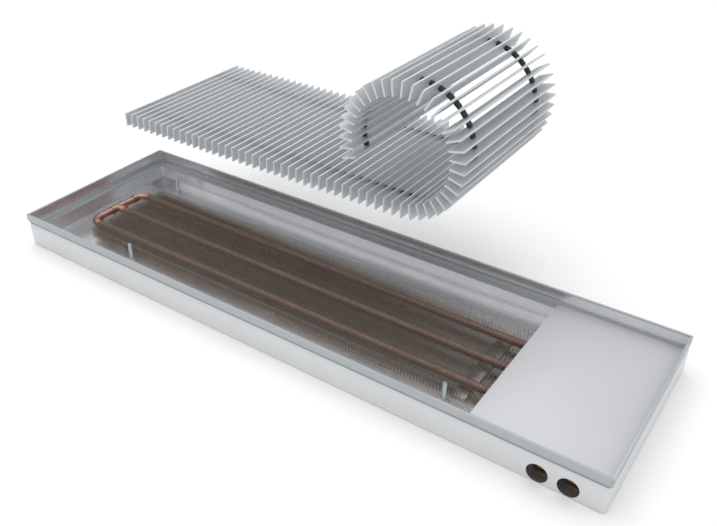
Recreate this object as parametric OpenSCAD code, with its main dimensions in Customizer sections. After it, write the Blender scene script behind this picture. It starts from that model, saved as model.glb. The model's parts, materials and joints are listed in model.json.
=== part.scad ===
// Trench convector heater with its roll-up grille lifted off
// X runs along the trough, Y across it and Z up; the origin is the middle of the trough's underside

/* [Trough] */
// Outside length of the trough
trough_l = 1000; // [900:10:1600]
// Outside width of the trough
trough_w = 300; // [300:5:380]
// Height from the underside to the rim's top face
trough_h = 57; // [56:1:90]
// Thickness of the folded sheet
sheet_t = 1.2; // [0.8:0.1:1.6]
// Outer radius of the upright corners
corner_r = 6; // [5:0.5:12]
// How far the sheet steps in under the rim
shoulder_in = 2; // [1.5:0.1:3]
// Height of the sloped strip below the rim
shoulder_h = 6.5; // [4:0.5:9]
// Shadow gap between the rim and the sloped strip
groove_h = 3; // [2:0.5:4]
// Radius of the two pipe holes
pipe_hole_r = 13.5; // [9:0.5:14]
// Height of the pipe holes' centres and of the tubes that line up with them
pipe_hole_z = 15.5; // [15:0.5:18]
// Distance of the return pipe's hole from the right end
pipe_hole_in = 46; // [42:1:60]
// Distance between the pipe holes
pipe_hole_pitch = 38; // [34:1:44]

/* [Rim] */
// Height of the rim's outer face
band_h = 12; // [9:0.5:15]
// Thickness of the rim's top
rim_top_t = 2; // [1:0.25:3]
// Width of the ledge that carries the grille
ledge_w = 10; // [9:0.5:16]
// Thickness of that ledge
ledge_t = 1.6; // [1.2:0.1:2.5]
// Thickness of the damping tape on the ledge
tape_t = 1; // [0.5:0.1:2]
// Width of the damping tape
tape_w = 7; // [4:0.5:8]

/* [Grille] */
// Distance from slat to slat
slat_pitch = 14; // [12:0.5:16]
// Thickness of a slat
slat_t = 2.8; // [1.6:0.1:3.6]
// Height of a slat
slat_h = 23; // [18:0.5:23]
// Bevel along the slat's upper edges
slat_bevel = 0.5; // [0.2:0.1:0.8]
// Distance of a spacer row from the slats' ends
spacer_in = 46; // [30:1:60]
// Radius of a spacer sleeve
spacer_r = 4; // [3:0.25:4.5]
// Turn of each rolled slat against the one before, in degrees
roll_step = 9.25; // [8:0.05:9.3]
// Free room at each end of the slats, across the trough
grille_side_gap = 5.65; // [2.65:0.25:6.65]
// Free room before the first slat
grille_end_gap = 2; // [1:0.25:3]
// First slat's place, from the trough's left end, while lifted off
off_left = 66.8; // [40:1:90]
// Front end of the slats, behind the trough's middle, while lifted off
off_back = 31.6; // [20:1:60]
// Height of the lifted slats over the rim
off_up = 108.2; // [90:1:130]

/* [Heat exchanger] */
// Outer radius of the copper tubes
tube_r = 6; // [5:0.25:7]
// Distance between the tubes
tube_pitch = 56; // [50:1:57]
// Width of a fin
fin_w = 165; // [158:1:168]
// Height of a fin
fin_h = 20.5; // [18:0.5:21]
// Thickness of a fin
fin_t = 0.4; // [0.3:0.05:0.8]
// Distance from fin to fin
fin_pitch = 5; // [4:0.5:10]
// Bare tube between the left header's sockets and the first fin
bare_tube_l = 9; // [4:1:40]
// Last fin, from the trough's right end
fin_right_in = 162; // [158:1:200]
// Wall of the collars that grip the tubes
collar_t = 0.6; // [0.4:0.1:1]
// Left header's axis, from the trough's left end
header_in = 46; // [40:1:46]

/* [Connections] */
// Centre-line radius of a pipe bend
bend_r = 14; // [12:0.5:16]
// Length of a fitting's socket
socket_l = 6; // [4:0.5:7]
// Wall of a fitting's socket over the tube
socket_t = 1.4; // [1:0.1:2]
// Length of a valve body
valve_l = 48; // [42:1:50]
// Radius of a valve body
valve_r = 10; // [9.6:0.1:10.5]
// Width across flats of the valves' hexagons
valve_af = 22; // [20:0.5:23]
// Radius of the connection thread
thread_r = 9.3; // [7:0.1:9.3]
// Depth of the connection thread
thread_l = 14; // [10:0.5:15]
// Distance of the valves' outlets from the trough's front face
outlet_in = 20; // [18:1:22]
// Length of the supply pipe between its valve and its bend
valve_link_l = 4; // [3:0.5:8]

/* [Levelling screws] */
// Radius of a levelling screw
screw_r = 3; // [2.5:0.25:3]
// How far a levelling screw ends below the cover plate
screw_below = 0.3; // [0.3:0.1:4]
// Front screws, from the trough's left end
level_front_left_in = 178; // [150:1:200]
// Front screws, from the trough's right end
level_front_right_in = 238; // [220:1:300]
// Front screws, from the fins' front edge
level_front_gap = 7.5; // [6.5:0.5:20]
// Back screws, from the trough's ends
level_back_end_in = 76; // [60:1:120]

/* [Cover] */
// Length of the plate over the connections
cover_l = 182; // [168:0.5:184]
// Thickness of that plate
cover_t = 1; // [0.8:0.1:1]
// Radius of the plate's corners
cover_r = 2; // [1:0.5:4]

/* [Hidden] */
$fn = 64;
// Gap between the sheet's lip and the rim that covers it
lip_gap = 0.15;
// Joint line of the mitred rim corners
mitre_gap = 0.1;
// Gap between the grille in its seat and the rim's top
seat_gap = 0.2;
// Gap round a loose plate
plate_gap = 0.6;
// Radial clearance of parts that are pressed or threaded together
fit_gap = 0.05;
// Gap between a turning piece and the piece that it faces
turn_gap = 0.3;
// Overrun of a cut
over = 1;

half_l = trough_l / 2;
half_w = trough_w / 2;
straight_l = trough_l - 2 * corner_r;
straight_w = trough_w - 2 * corner_r;
rim_w = shoulder_in + sheet_t + lip_gap;
rim_in_x = half_l - rim_w;
rim_in_y = half_w - rim_w;
wall_h = trough_h - band_h - groove_h - shoulder_h;
shoulder_top = wall_h + shoulder_h;
knee = sheet_t * tan(atan2(shoulder_in, shoulder_h) / 2);
slot_top = trough_h - rim_top_t;
lip_top = slot_top - lip_gap;
slot_out = shoulder_in - lip_gap;
ledge_z = trough_h - seat_gap - slat_h - tape_t;
ledge_in_y = rim_in_y - ledge_w;

slat_l = 2 * (rim_in_y - grille_side_gap);
roll_slats = 31;
slat_room = 2 * (rim_in_x - grille_end_gap) - slat_t;
slats = floor(slat_room / slat_pitch) + 1;
flat_slats = slats - roll_slats;
spacer_l = slat_pitch - slat_t;
// Room at a sleeve's free end, so that the rolled sleeve stays clear of the slat before it
roll_gap = (turn_gap + spacer_r * sin(roll_step)) / cos(roll_step);
grille_x = off_left - half_l;
grille_z = trough_h + off_up;
grille_mid_y = off_back + slat_l / 2;
hinge_z = grille_z + slat_h / 2;
spacer_rows = [off_back + spacer_in, off_back + slat_l - spacer_in];

reach = bend_r + socket_l;
tee_run = bend_r;
link_l = tube_pitch - reach - tee_run;
tube_z = pipe_hole_z;
fitting_r = tube_r + socket_t;
return_x = half_l - pipe_hole_in;
supply_x = return_x - pipe_hole_pitch;
valve_end = outlet_in - half_w;
valve_start = valve_end + valve_l;
front_tube_y = valve_start + valve_link_l + reach;
exchanger_y = front_tube_y + tube_pitch;
tube_ys = [front_tube_y, exchanger_y, exchanger_y + tube_pitch];
header_x = header_in - half_l;
fin_x = header_x + reach + bare_tube_l;
fins = floor((half_l - fin_right_in - fin_x) / fin_pitch) + 1;
fin_end_x = fin_x + (fins - 1) * fin_pitch + fin_t;
fin_z = tube_z - fin_h / 2;
fin_front_y = exchanger_y - fin_w / 2;
fin_back_y = exchanger_y + fin_w / 2;
collector_x = fin_end_x + reach + socket_l;
nut_l = 9;
thread_wall_l = 16;
boss_l = 18;
boss_r = 7.5;
boss_y = valve_end + valve_l / 2;
knob_r = 10;
knob_l = 24;
knob_groove_r = 1.2;
knob_grooves = 16;
cap_r = 9;
cap_l = 16;
cap_af = 12;
bleed_y = tube_ys[2] + tee_run;
bleed_l = 12;
bleed_r = 5;
bleed_af = 13;
bleed_nut_l = 5;
bleed_key_w = 5;
bleed_key_l = 5;

level_nut_af = 10;
level_nut_h = 5;
level_slot_w = 1.2;
level_slot_h = 1.6;
level_hole_gap = 0.5;
level_tip_z = sheet_t / 3;
level_top = ledge_z - screw_below;
level_front_y = fin_front_y - level_front_gap;
level_back_y = (fin_back_y + half_w - sheet_t) / 2;
level_places = [
    [level_front_left_in - half_l, level_front_y],
    [half_l - level_front_right_in, level_front_y],
    [level_back_end_in - half_l, level_back_y],
    [half_l - level_back_end_in, level_back_y],
];

bracket_w = 20;
bracket_t = 1.2;
bracket_foot = 14;
bracket_in = 6;
bracket_end_in = 60;
bracket_xs = [fin_x + bracket_end_in, (fin_x + fin_end_x) / 2, fin_end_x - bracket_end_in];

cover_x = rim_in_x - plate_gap - cover_l;
cover_w = 2 * (rim_in_y - plate_gap);

copper = "#c27e66";
brass = "#c9a24e";
steel = "#c5c9cc";
aluminium = "#b4b9bb";
fin_brown = "#6a5d54";
rubber = "#4b5154";
foam = "#9a9ea1";
knob_white = "#e9e9e6";

// Cylinders along X and along Y, from the given start
module rod_x(start, length, radius) {
    translate(start) rotate([0, 90, 0]) cylinder(h = length, r = radius);
}

module rod_y(start, length, radius) {
    translate(start) rotate([-90, 0, 0]) cylinder(h = length, r = radius);
}

// Hexagonal prism along Y with flats on top and below
module hex_y(start, length, flats) {
    translate(start) rotate([-90, 0, 0]) cylinder(h = length, r = flats / 2 / cos(30), $fn = 6);
}

// Cross-section of the folded wall: across is the distance in from the outer face
module wall_profile(from_axis) {
    side = from_axis == 0 ? 1 : -1;
    polygon([for (p = [
        [0, sheet_t],
        [0, wall_h],
        [shoulder_in, shoulder_top],
        [shoulder_in, lip_top],
        [shoulder_in + sheet_t, lip_top],
        [shoulder_in + sheet_t, shoulder_top - knee],
        [sheet_t, wall_h - knee],
        [sheet_t, sheet_t],
    ]) [from_axis + side * p[0], p[1]]]);
}

// One straight wall along X, its outer face on y = 0 and its middle on x = 0
module wall_run(length) {
    translate([-length / 2, 0, 0])
        rotate([90, 0, 90])
            linear_extrude(length) wall_profile(0);
}

// Plate with round corners, its middle over the origin
module round_plate(length, width, radius, thickness) {
    linear_extrude(thickness) square([length - 2 * radius, width], center = true);
    linear_extrude(thickness) square([length, width - 2 * radius], center = true);
    for (sx = [-1, 1], sy = [-1, 1])
        translate([sx * (length / 2 - radius), sy * (width / 2 - radius), 0])
            cylinder(h = thickness, r = radius);
}

// The trough is one folded sheet; its floor, walls and corners meet face to face at the folds
module trough_floor() {
    color(steel) difference() {
        round_plate(trough_l, trough_w, corner_r, sheet_t);
        for (p = level_places)
            translate([p[0], p[1], -over]) cylinder(h = sheet_t + 2 * over, r = screw_r + level_hole_gap);
    }
}

module trough_wall_front() {
    color(steel) difference() {
        translate([0, -half_w, 0]) wall_run(straight_l);
        for (x = [supply_x, return_x])
            rod_y([x, -half_w - over, pipe_hole_z], sheet_t + 2 * over, pipe_hole_r);
    }
}

module trough_wall_back() {
    color(steel) rotate(180) translate([0, -half_w, 0]) wall_run(straight_l);
}

module trough_ends() {
    color(steel)
        for (a = [-90, 90])
            rotate(a) translate([0, -half_l, 0]) wall_run(straight_w);
}

module trough_corners() {
    color(steel)
        for (sx = [-1, 1], sy = [-1, 1])
            translate([sx * straight_l / 2, sy * straight_w / 2, 0])
                rotate(sx == 1 ? (sy == 1 ? 0 : -90) : (sy == 1 ? 90 : 180))
                    rotate_extrude(angle = 90) wall_profile(corner_r);
}

// The rim is an extruded angle that covers the sheet's lip, drawn as distance in from its outer face
module rim_profile() {
    polygon([
        [0, trough_h],
        [rim_w, trough_h],
        [rim_w, slot_top],
        [slot_out, slot_top],
        [slot_out, trough_h - band_h],
        [0, trough_h - band_h],
    ]);
}

// Plan of a mitred strip along X, from one distance to another behind the outer face y = 0
module mitred_strip(length, from, to) {
    long = length / 2 - mitre_gap;
    polygon([[from - long, from], [long - from, from], [long - to, to], [to - long, to]]);
}

module rim_rail(length) {
    color(aluminium) intersection() {
        translate([-length / 2, 0, 0])
            rotate([90, 0, 90])
                linear_extrude(length) rim_profile();
        linear_extrude(trough_h) mitred_strip(length, 0, rim_w);
    }
}

module rim_rail_front() { translate([0, -half_w, 0]) rim_rail(trough_l); }
module rim_rail_back() { rotate(180) translate([0, -half_w, 0]) rim_rail(trough_l); }
module rim_rail_left() { rotate(-90) translate([0, -half_l, 0]) rim_rail(trough_w); }
module rim_rail_right() { rotate(90) translate([0, -half_l, 0]) rim_rail(trough_w); }

// Flat strips along the walls that carry the grille and the cover plate
module ledge(length) {
    linear_extrude(ledge_t) mitred_strip(length, sheet_t, rim_w + ledge_w);
}

// The strips' outer corners are rounder than the trough's, so that they go down inside it
module grille_ledges() {
    color(aluminium) translate([0, 0, ledge_z - ledge_t]) intersection() {
        round_plate(trough_l - 2 * sheet_t, trough_w - 2 * sheet_t, corner_r, ledge_t);
        for (a = [0, 180]) {
            rotate(a) translate([0, -half_w, 0]) ledge(trough_l);
            rotate(a + 90) translate([0, -half_l, 0]) ledge(trough_w);
        }
    }
}

// Self-adhesive tape on the ledges, from the left rim to the cover plate
module damping_tapes() {
    start = -rim_in_x + ledge_w;
    length = cover_x - plate_gap - start;
    middle = rim_in_y - ledge_w / 2;
    color(foam) {
        for (side = [-1, 1])
            translate([start, side * middle - tape_w / 2, ledge_z])
                cube([length, tape_w, tape_t]);
        translate([-rim_in_x + (ledge_w - tape_w) / 2, -ledge_in_y, ledge_z])
            cube([tape_w, 2 * ledge_in_y, tape_t]);
    }
}

// Thin plates held together by the collars that grip the tubes
module fin_pack() {
    color(fin_brown) difference() {
        union() {
            for (i = [0 : fins - 1])
                translate([fin_x + i * fin_pitch, fin_front_y, fin_z])
                    cube([fin_t, fin_w, fin_h]);
            for (y = tube_ys)
                rod_x([fin_x, y, tube_z], fin_end_x - fin_x, tube_r + fit_gap + collar_t);
        }
        for (y = tube_ys)
            rod_x([fin_x - over, y, tube_z], fin_end_x - fin_x + 2 * over, tube_r + fit_gap);
    }
}

// Water tubes; the front one runs on to the supply valve
module exchanger_tubes() {
    start = header_x + reach;
    color(copper) {
        rod_x([start, tube_ys[0], tube_z], supply_x - reach - start, tube_r);
        rod_x([start, tube_ys[1], tube_z], collector_x - reach - start, tube_r);
        rod_x([start, tube_ys[2], tube_z], collector_x - reach - start, tube_r);
    }
}

// A bend whose ports face -X, at [-bend, +bend], and -Y, at zero
module elbow(corner) {
    translate([corner[0], corner[1], tube_z]) {
        translate([-bend_r, -bend_r, 0])
            rotate_extrude(angle = 90) translate([bend_r, 0]) circle(tube_r + socket_t / 2);
        rod_x([-reach, 0, 0], socket_l, fitting_r);
        rod_y([0, -reach, 0], socket_l, fitting_r);
    }
}

// A tee on the given corner: its run lies along Y and its branch points along +X
module tee() {
    rod_y([0, -tee_run, 0], 2 * tee_run, tube_r + socket_t / 2);
    rod_x([0, 0, 0], reach, tube_r + socket_t / 2);
    rod_y([0, -tee_run, 0], socket_l, fitting_r);
    rod_y([0, tee_run - socket_l, 0], socket_l, fitting_r);
    rod_x([reach - socket_l, 0, 0], socket_l, fitting_r);
}

// Joins the middle and the back tube ahead of the return valve
module collector_tee() {
    rod_x([-reach, 0, 0], reach + tee_run, tube_r + socket_t / 2);
    rod_x([-reach, 0, 0], socket_l, fitting_r);
    rod_x([tee_run - socket_l, 0, 0], socket_l, fitting_r);
    rod_y([0, 0, 0], reach, tube_r + socket_t / 2);
    rod_y([0, reach - socket_l, 0], socket_l, fitting_r);
}

// Soldered bends and tees: three at the left header, four on the way to the valves
module pipe_fittings() {
    color(copper) {
        translate([header_x, tube_ys[0], 0]) rotate(180) elbow([0, 0]);
        translate([header_x, tube_ys[1], tube_z]) tee();
        translate([header_x, tube_ys[2], 0]) mirror([1, 0, 0]) elbow([0, 0]);
        translate([collector_x, tube_ys[1], tube_z]) collector_tee();
        translate([collector_x, tube_ys[2], tube_z]) mirror([1, 0, 0]) tee();
        elbow([return_x, tube_ys[1]]);
        elbow([supply_x, tube_ys[0]]);
    }
}

// Short pipes between the fittings and on to the valves
module link_pipes() {
    run_start = collector_x + tee_run;
    color(copper) {
        rod_y([header_x, tube_ys[0] + reach, tube_z], link_l, tube_r);
        rod_y([header_x, tube_ys[1] + tee_run, tube_z], link_l, tube_r);
        rod_y([collector_x, tube_ys[1] + reach, tube_z], link_l, tube_r);
        rod_x([run_start, tube_ys[1], tube_z], return_x - reach - run_start, tube_r);
        rod_y([supply_x, valve_start, tube_z], tube_ys[0] - reach - valve_start, tube_r);
        rod_y([return_x, valve_start, tube_z], tube_ys[1] - reach - valve_start, tube_r);
    }
}

// Straight body with a union nut, a threaded outlet towards the pipe hole and a side boss
module valve_body(x, side) {
    difference() {
        union() {
            rod_y([x, valve_end, tube_z], valve_l, valve_r);
            hex_y([x, valve_end + valve_l - nut_l, tube_z], nut_l, valve_af);
            hex_y([x, valve_end, tube_z], thread_wall_l, valve_af);
            translate([x, boss_y, tube_z])
                rotate([0, side * 90, 0]) cylinder(h = boss_l, r = boss_r);
        }
        rod_y([x, valve_end - over, tube_z], thread_l + over, thread_r);
    }
}

module valve_bodies() {
    color(brass) {
        valve_body(supply_x, -1);
        valve_body(return_x, 1);
    }
}

// Ribbed hand knob of the supply valve
module supply_valve_knob() {
    color(knob_white)
        translate([supply_x - boss_l - turn_gap, boss_y, tube_z])
            rotate([0, -90, 0]) difference() {
                cylinder(h = knob_l, r = knob_r);
                for (i = [0 : knob_grooves - 1])
                    rotate(i * 360 / knob_grooves) translate([knob_r, 0, knob_l / 4])
                        cylinder(h = knob_l, r = knob_groove_r);
            }
}

// Plain screw cap of the return valve with a hexagon for the key
module return_valve_cap() {
    color(brass)
        translate([return_x + boss_l + turn_gap, boss_y, tube_z]) rotate([0, 90, 0]) {
            cylinder(h = cap_l * 2 / 3, r = cap_r);
            cylinder(h = cap_l, r = cap_af / 2 / cos(30), $fn = 6);
        }
}

// The bleed valve sits on the collector's highest run, under the cover plate
module bleed_valve_body() {
    color(brass) {
        hex_y([collector_x, bleed_y, tube_z], bleed_nut_l, bleed_af);
        rod_y([collector_x, bleed_y, tube_z], bleed_l, bleed_r);
    }
}

// Square-ended screw that a bleed key turns
module bleed_screw() {
    color(brass)
        translate([collector_x, bleed_y + bleed_l + turn_gap, tube_z]) {
            rod_y([0, 0, 0], bleed_key_l / 2, bleed_key_w / 2);
            translate([0, bleed_key_l / 2 + bleed_key_l / 4, 0])
                cube([bleed_key_w / sqrt(2), bleed_key_l / 2, bleed_key_w / sqrt(2)], center = true);
        }
}

// Bent straps that stand on the floor and carry the fins
module exchanger_brackets() {
    low = fin_front_y + bracket_in;
    high = fin_back_y - bracket_in;
    foot_z = sheet_t + bracket_t;
    color(steel)
        for (x = bracket_xs)
            translate([x - bracket_w / 2, 0, 0])
                rotate([90, 0, 90])
                    linear_extrude(bracket_w)
                        polygon([
                            [low, sheet_t],
                            [low + bracket_foot, sheet_t],
                            [low + bracket_foot, foot_z],
                            [low + bracket_t, foot_z],
                            [low + bracket_t, fin_z - bracket_t],
                            [high - bracket_t, fin_z - bracket_t],
                            [high - bracket_t, foot_z],
                            [high - bracket_foot, foot_z],
                            [high - bracket_foot, sheet_t],
                            [high, sheet_t],
                            [high, fin_z],
                            [low, fin_z],
                        ]);
}

module levelling_nuts() {
    color(steel)
        for (p = level_places)
            translate([p[0], p[1], sheet_t]) difference() {
                cylinder(h = level_nut_h, r = level_nut_af / 2 / cos(30), $fn = 6);
                translate([0, 0, -over]) cylinder(h = level_nut_h + 2 * over, r = screw_r + fit_gap);
            }
}

// Slotted screw that stands in its nut and sets the trough's height
module levelling_screw(i) {
    length = level_top - level_tip_z;
    color(steel)
        translate([level_places[i][0], level_places[i][1], level_tip_z]) difference() {
            cylinder(h = length, r = screw_r);
            translate([-level_slot_w / 2, -screw_r - over, length - level_slot_h])
                cube([level_slot_w, 2 * (screw_r + over), level_slot_h + over]);
        }
}

module cover_plate() {
    color(steel)
        translate([cover_x + cover_l / 2, 0, ledge_z]) round_plate(cover_l, cover_w, cover_r, cover_t);
}

// A slat as extruded, standing on z = 0 with bevelled upper edges
module slat() {
    edge = slat_t / 2;
    translate([0, grille_mid_y + slat_l / 2, 0])
        rotate([90, 0, 0])
            linear_extrude(slat_l)
                polygon([
                    [-edge, 0],
                    [edge, 0],
                    [edge, slat_h - slat_bevel],
                    [edge - slat_bevel, slat_h],
                    [slat_bevel - edge, slat_h],
                    [-edge, slat_h - slat_bevel],
                ]);
}

module grille_slats() {
    color(aluminium)
        for (i = [0 : flat_slats - 1])
            translate([grille_x + i * slat_pitch, 0, grille_z]) slat();
}

module grille_spacers() {
    color(rubber)
        for (i = [0 : flat_slats - 2], y = spacer_rows)
            rod_x([grille_x + i * slat_pitch + slat_t / 2, y, hinge_z], spacer_l, spacer_r);
}

// Hinge line before rolled slat i, as [x, z]: each link turns one roll_step further
function hinge(i) = i == 1
    ? [grille_x + (flat_slats - 1) * slat_pitch + slat_t / 2, hinge_z]
    : hinge(i - 1) + slat_pitch * [cos((i - 1) * roll_step), sin((i - 1) * roll_step)];

// One rolled slat with the two spacers on the side of the slat before
module rolled_slat(i) {
    p = hinge(i);
    color(aluminium)
        translate([p[0], 0, p[1]]) rotate([0, -i * roll_step, 0]) {
            translate([slat_pitch - slat_t / 2, 0, -slat_h / 2]) slat();
            for (y = spacer_rows)
                rod_x([roll_gap, y, 0], slat_pitch - slat_t / 2 - roll_gap, spacer_r);
        }
}

trough_floor();
trough_wall_front();
trough_wall_back();
trough_ends();
trough_corners();
rim_rail_front();
rim_rail_back();
rim_rail_left();
rim_rail_right();
grille_ledges();
damping_tapes();
fin_pack();
exchanger_tubes();
pipe_fittings();
link_pipes();
valve_bodies();
supply_valve_knob();
return_valve_cap();
bleed_valve_body();
bleed_screw();
exchanger_brackets();
levelling_nuts();
levelling_screw(0);  // levelling_screw_1
levelling_screw(1);  // levelling_screw_2
levelling_screw(2);  // levelling_screw_3
levelling_screw(3);  // levelling_screw_4
cover_plate();
grille_slats();
grille_spacers();
rolled_slat(1);  // rolled_slat_01
rolled_slat(2);  // rolled_slat_02
rolled_slat(3);  // rolled_slat_03
rolled_slat(4);  // rolled_slat_04
rolled_slat(5);  // rolled_slat_05
rolled_slat(6);  // rolled_slat_06
rolled_slat(7);  // rolled_slat_07
rolled_slat(8);  // rolled_slat_08
rolled_slat(9);  // rolled_slat_09
rolled_slat(10);  // rolled_slat_10
rolled_slat(11);  // rolled_slat_11
rolled_slat(12);  // rolled_slat_12
rolled_slat(13);  // rolled_slat_13
rolled_slat(14);  // rolled_slat_14
rolled_slat(15);  // rolled_slat_15
rolled_slat(16);  // rolled_slat_16
rolled_slat(17);  // rolled_slat_17
rolled_slat(18);  // rolled_slat_18
rolled_slat(19);  // rolled_slat_19
rolled_slat(20);  // rolled_slat_20
rolled_slat(21);  // rolled_slat_21
rolled_slat(22);  // rolled_slat_22
rolled_slat(23);  // rolled_slat_23
rolled_slat(24);  // rolled_slat_24
rolled_slat(25);  // rolled_slat_25
rolled_slat(26);  // rolled_slat_26
rolled_slat(27);  // rolled_slat_27
rolled_slat(28);  // rolled_slat_28
rolled_slat(29);  // rolled_slat_29
rolled_slat(30);  // rolled_slat_30
rolled_slat(31);  // rolled_slat_31
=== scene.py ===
# %% [markdown]
# # A trench convector heater
#
# This heater lies in the depth of a floor. A long trough of folded sheet holds finned copper tubes, and
# a grille of aluminium slats closes it flush with the floor. Here the grille is lifted off, and its
# right half is rolled up and back over the left one.
#
# The solid model of the part is loaded first, as a fixed frame that says where each piece is and how it
# moves. Each step then looks at one piece or one finish of the real heater and gives it its detail.

# %% Load the frame
import json
import math

import bmesh
import bpy
from mathutils import Matrix, Vector


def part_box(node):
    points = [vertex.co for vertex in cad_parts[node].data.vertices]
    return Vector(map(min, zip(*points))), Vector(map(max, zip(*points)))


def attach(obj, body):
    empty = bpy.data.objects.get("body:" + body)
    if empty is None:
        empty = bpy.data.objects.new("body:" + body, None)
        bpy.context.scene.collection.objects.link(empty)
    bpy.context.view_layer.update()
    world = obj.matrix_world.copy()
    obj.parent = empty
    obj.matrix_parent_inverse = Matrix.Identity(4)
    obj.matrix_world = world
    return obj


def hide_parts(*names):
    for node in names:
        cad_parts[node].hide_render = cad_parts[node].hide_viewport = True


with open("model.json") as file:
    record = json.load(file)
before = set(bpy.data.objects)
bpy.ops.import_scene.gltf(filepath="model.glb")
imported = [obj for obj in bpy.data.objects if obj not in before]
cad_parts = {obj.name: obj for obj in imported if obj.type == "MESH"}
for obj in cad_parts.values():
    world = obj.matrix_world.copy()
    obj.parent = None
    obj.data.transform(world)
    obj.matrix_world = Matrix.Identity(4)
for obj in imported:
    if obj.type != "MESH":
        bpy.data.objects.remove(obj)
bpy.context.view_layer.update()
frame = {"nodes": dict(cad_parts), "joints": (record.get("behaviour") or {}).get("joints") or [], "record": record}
nodes = frame["nodes"]
joints = {joint["name"]: joint for joint in frame["joints"]}

# %% [markdown]
# ## Nodes and colours
#
# Materials and Geometry Nodes trees are both built from nodes. One small function can add any of them:
# it sets the node's own properties and then gives each socket a value or a link. That keeps a long tree
# readable, because each node is one call.
#
# Colours are written as sRGB hex codes, as a paint chart gives them, and turned to the linear values
# that the shader works with.

# %% One function for nodes, one for colours
MM = 0.001


def add_node(tree, kind, settings=None, inputs=None):
    """Adds a node, sets its properties, and gives its sockets values or links."""
    made = tree.nodes.new(kind)
    for name, value in (settings or {}).items():
        setattr(made, name, value)
    for name, value in (inputs or {}).items():
        if isinstance(value, bpy.types.NodeSocket):
            tree.links.new(value, made.inputs[name])
        else:
            made.inputs[name].default_value = value
    return made


def linear(code):
    """An sRGB hex colour as linear red, green, blue and alpha."""
    parts = [int(code[i:i + 2], 16) / 255 for i in (1, 3, 5)]
    values = [c / 12.92 if c <= 0.04045 else ((c + 0.055) / 1.055) ** 2.4 for c in parts]
    return (*values, 1.0)


print("mid grey is", [round(value, 3) for value in linear("#808080")])

# %% [markdown]
# ## Starting a finish
#
# Every finish here starts the same way: a Principled shader with its metallic and roughness values, and
# the piece's Object coordinates, which are metres in the part's own frame. Two patterns come back again
# and again. Rolling, drawing and extruding leave fine lines along the metal, which are noise stretched
# in one direction. Handling and ageing leave soft clouds, which are noise of one size all round.
#
# A pattern runs from 0 to 1. Three more functions put it to use: as a mixture of two colours, as a
# range of roughness, and as bumps.

# %% The start of a material, and two patterns
def start_material(name, metallic, roughness):
    """A material with its tree, its shader and the coordinates for its patterns."""
    material = bpy.data.materials.new(name)
    material.use_nodes = True
    tree = material.node_tree
    shader = tree.nodes["Principled BSDF"]
    shader.inputs["Metallic"].default_value = metallic
    shader.inputs["Roughness"].default_value = roughness
    place = add_node(tree, "ShaderNodeTexCoord").outputs["Object"]
    return material, tree, shader, place


def lines(tree, place, axis, spacing, length):
    """Noise drawn out along an axis: lines about spacing apart and length long, from 0 to 1."""
    scale = [1 / spacing] * 3
    scale[axis] = 1 / length
    drawn = add_node(tree, "ShaderNodeMapping", inputs={"Vector": place, "Scale": scale})
    noise = {"Vector": drawn.outputs["Vector"], "Scale": 1.0, "Detail": 3.0}
    return add_node(tree, "ShaderNodeTexNoise", inputs=noise).outputs["Fac"]


def clouds(tree, place, size):
    """Soft noise with patches about this size, from 0 to 1."""
    noise = {"Vector": place, "Scale": 1 / size, "Detail": 2.0}
    return add_node(tree, "ShaderNodeTexNoise", inputs=noise).outputs["Fac"]


print("patterns: lines and clouds")

# %% Three uses of a pattern
def colour(tree, shader, pattern, first, second):
    """The surface's colour: two hex colours mixed by a pattern."""
    mixed = {0: pattern, 6: linear(first), 7: linear(second)}
    mix = add_node(tree, "ShaderNodeMix", {"data_type": "RGBA"}, mixed).outputs[2]
    tree.links.new(mix, shader.inputs["Base Color"])


def roughen(tree, shader, pattern, low, high):
    """The surface's roughness: a pattern spread from low to high."""
    spread = add_node(tree, "ShaderNodeMapRange", inputs={0: pattern, 3: low, 4: high}).outputs[0]
    tree.links.new(spread, shader.inputs["Roughness"])


def raise_surface(tree, shader, pattern, height):
    """Bumps of this height in metres on the shader's surface."""
    bump = {"Height": pattern, "Strength": 1.0, "Distance": height}
    normal = add_node(tree, "ShaderNodeBump", inputs=bump).outputs["Normal"]
    tree.links.new(normal, shader.inputs["Normal"])


print("uses: colour, roughness and bumps")

# %% [markdown]
# ## Coated steel sheet
#
# The trough is folded from cold-rolled steel with a zinc coat. Inside, the zinc is left bright: it is a
# metal that mirrors the fins and itself, and two reflections, off the floor and off a wall, throw the
# Outside it is far less metallic, and its colour is a tone darker: painted shade for greyer walls.
# Rolling leaves faint lines along the sheet, and the coats leave a fine orange peel, which is drawn
# about twice as coarse as the real 1 mm so that it shows. The sides differ in a few values only, so one
# function makes both.

# %% Trough sheet
def zinc_sheet(name, metallic, roughness, dark, light):
    """Rolled steel sheet with a zinc coat: faint lines along X, soft patches and orange peel."""
    material, tree, shader, place = start_material(name, metallic, roughness)
    colour(tree, shader, clouds(tree, place, 60 * MM), dark, light)
    rolling = lines(tree, place, axis=0, spacing=1 * MM, length=150 * MM)
    roughen(tree, shader, rolling, roughness - 0.04, roughness + 0.06)
    raise_surface(tree, shader, clouds(tree, place, 2 * MM), 0.01 * MM)
    return material


sheet_inside = zinc_sheet("zinc_coated_steel_bright", 0.9, 0.27, "#e6e6e9", "#f0f0f2")
# The outside's colour is drawn a tone darker than the inside's: painted shade.
sheet_outside_painted_shade = zinc_sheet("zinc_coated_steel_painted_shade_outside", 0.3, 0.42, "#d6d8da", "#dddfe1")
print(sheet_inside.name, sheet_outside_painted_shade.name)

# %% [markdown]
# ## Anodised aluminium
#
# The rim and the slats are extruded aluminium. A die leaves lines that run along the profile, and the
# anodic layer over them makes the shine satin and the colour a little bluish. The layer also takes away
# part of the mirror, which a metallic value near a half gives. The long rails, the short rails and the
# slats differ in the direction of their lines, and the slats are paler and more matt, so one function
# makes all three. Die lines are some 0.2 mm apart; they are drawn 0.8 mm apart to show.

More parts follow.
